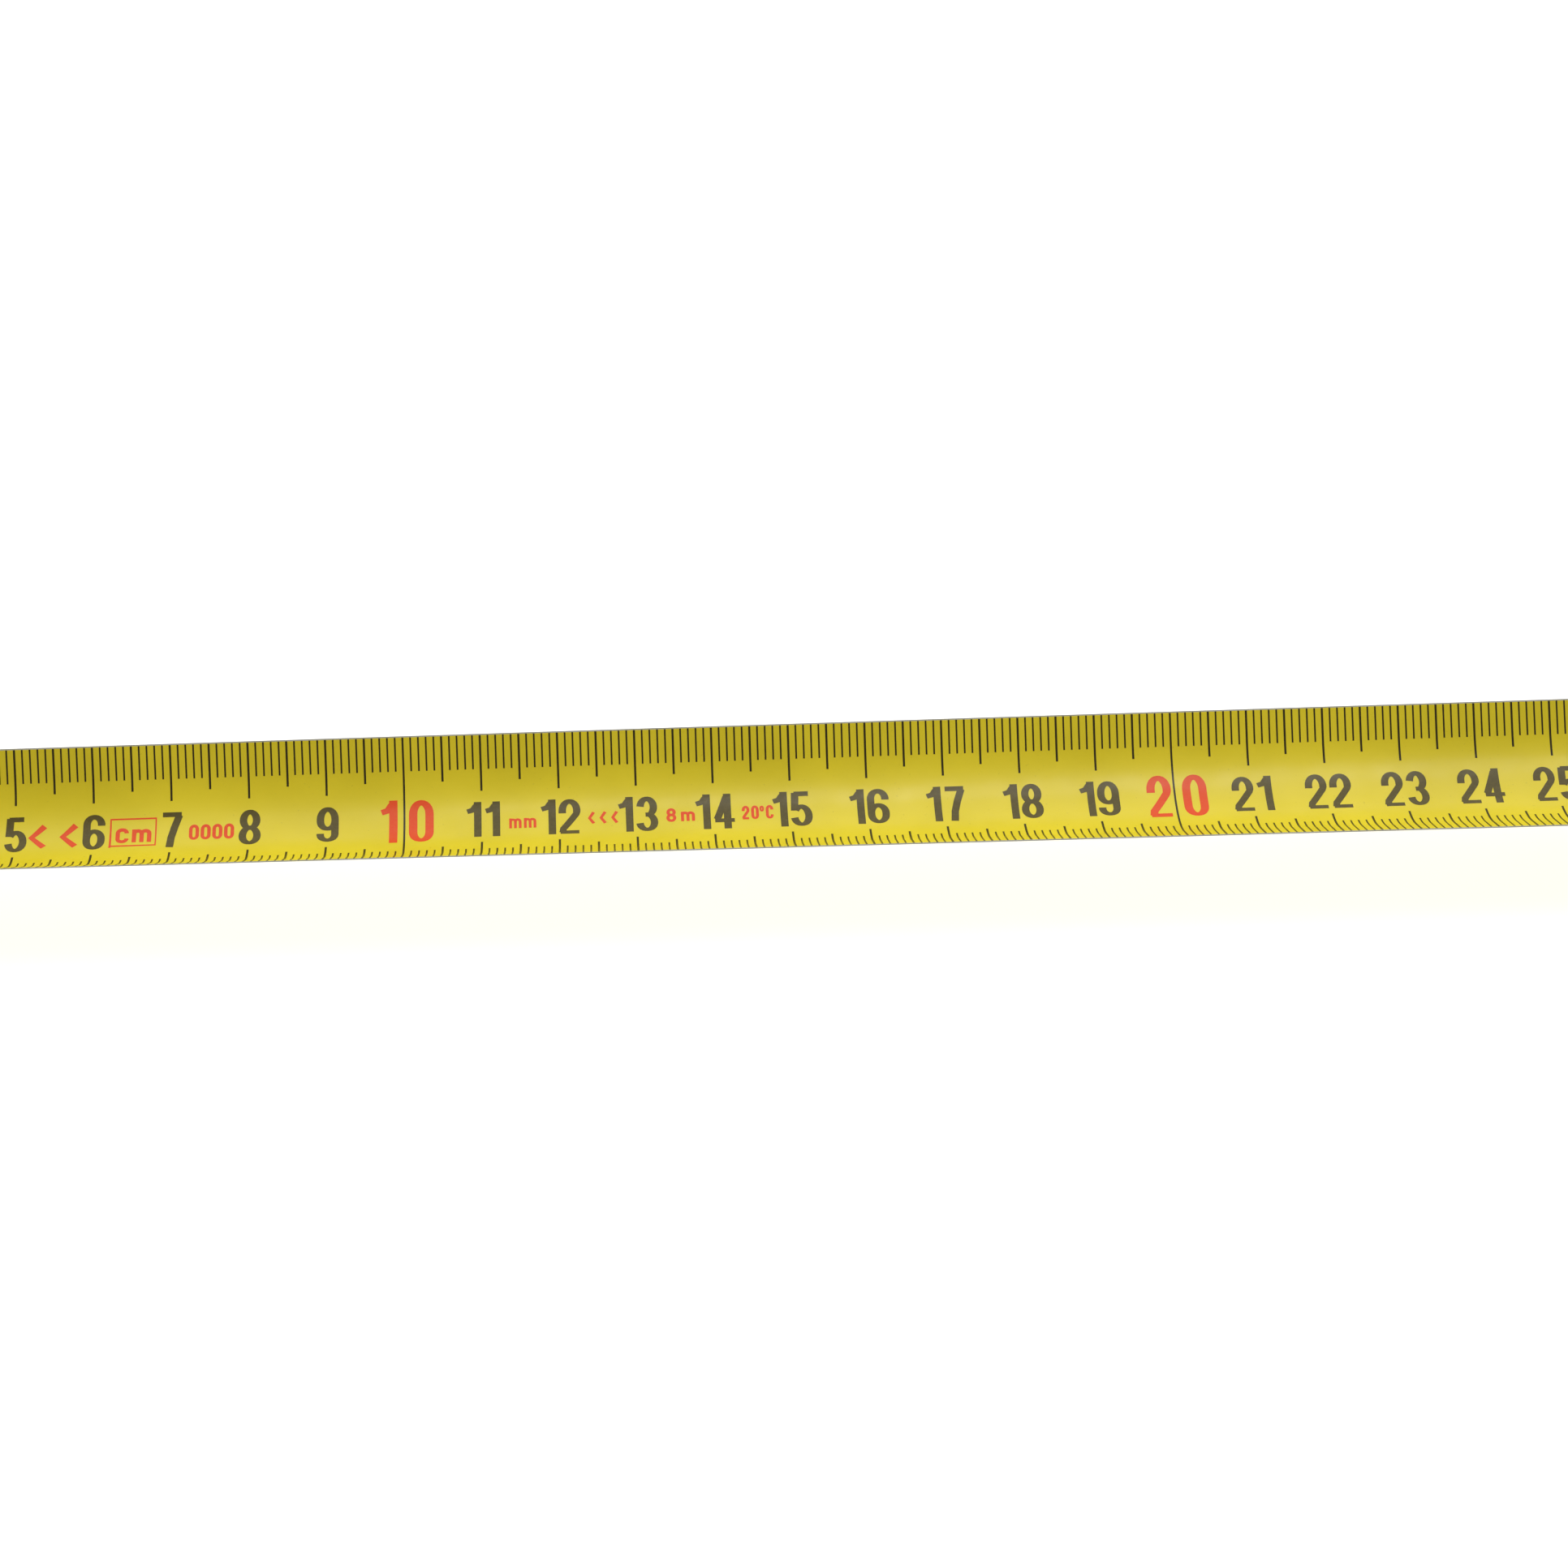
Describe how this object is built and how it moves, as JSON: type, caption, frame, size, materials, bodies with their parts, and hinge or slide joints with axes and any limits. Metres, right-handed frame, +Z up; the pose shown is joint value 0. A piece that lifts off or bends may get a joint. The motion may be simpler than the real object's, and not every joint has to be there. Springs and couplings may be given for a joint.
{
  "type": "tape measure",
  "caption": "Pocket tape measure with its curled steel blade drawn out and locked, an end hook, a thumb lock and a sprung belt clip.",
  "frame": {"origin": "point of the case's flat base plane straight under the reel's axis", "axes": "+Z up, -X along the blade towards its hook, +Y towards the belt clip"},
  "size_m": [0.3638, 0.0436, 0.0775],
  "materials": {
    "shell_yellow": "moulded ABS, fine spark texture on the panels",
    "rubber_black": "soft-touch overmould, matt with fine grain",
    "nylon_black": "glass-filled nylon",
    "plated_steel": "zinc plated",
    "spring_steel": "blued spring steel",
    "blade_lacquer": "yellow lacquer with printed scale under a clear coat",
    "button_red": "moulded thumb button",
    "label_face": "satin printed foil with the length and a ring of plain marks",
    "pad_rubber": "hard rubber"
  },
  "bodies": {
    "case": {"case_left": "shell_yellow", "case_right": "shell_yellow", "grip_left": "rubber_black", "grip_right": "rubber_black", "label": "label_face", "case_screws": "plated_steel", "arbor": "plated_steel", "arbor_screw": "plated_steel", "mouth_guide": "nylon_black", "blade_bed": "nylon_black", "hook_bumper": "pad_rubber", "clip_tab": "plated_steel", "clip_screw": "plated_steel"},
    "reel": {"reel_drum": "nylon_black", "reel_cover": "nylon_black", "return_spring": "spring_steel", "blade_coil": "blade_lacquer", "tail_rivet": "plated_steel"},
    "blade_run": {"blade": "blade_lacquer", "hook_rivets": "plated_steel"},
    "hook": {"end_hook": "plated_steel"},
    "lock": {"lock_button": "button_red"},
    "brake": {"brake_lever": "nylon_black", "brake_pad": "pad_rubber", "lock_spring": "spring_steel"},
    "clip": {"belt_clip": "plated_steel"}
  },
  "joints": [
    {"name": "blade_slide", "type": "slide", "parent": "case", "child": "blade_run", "axis": [1, 0, 0], "range_m": [0, 0.2777], "deforming": ["blade"]},
    {"name": "reel_spin", "type": "hinge", "parent": "case", "child": "reel", "pos_m": [0, 0, 0.04011], "axis": [0, -1, 0], "range_deg": [0, 526.4], "deforming": ["return_spring"]},
    {"name": "hook_slide", "type": "slide", "parent": "blade_run", "child": "hook", "axis": [1, 0, 0], "range_m": [0, 0.001]},
    {"name": "lock_slide", "type": "slide", "parent": "case", "child": "lock", "axis": [0.5845, 0, 0.8114], "range_m": [0, 0.006]},
    {"name": "brake_lift", "type": "slide", "parent": "case", "child": "brake", "axis": [0, 0, 1], "range_m": [0, 0.00121], "deforming": ["lock_spring"]},
    {"name": "belt_clip_flex", "type": "hinge", "parent": "case", "child": "clip", "pos_m": [0, 0.018, 0.05211], "axis": [1, 0, 0], "range_deg": [0, 12], "stiffness_Nm_per_rad": 2}
  ],
  "couplings": [
    {"joint": "reel_spin", "follows": "blade_slide", "rad_per_m": 32.898},
    {"joint": "brake_lift", "follows": "lock_slide", "ratio": 0.2}
  ]
}
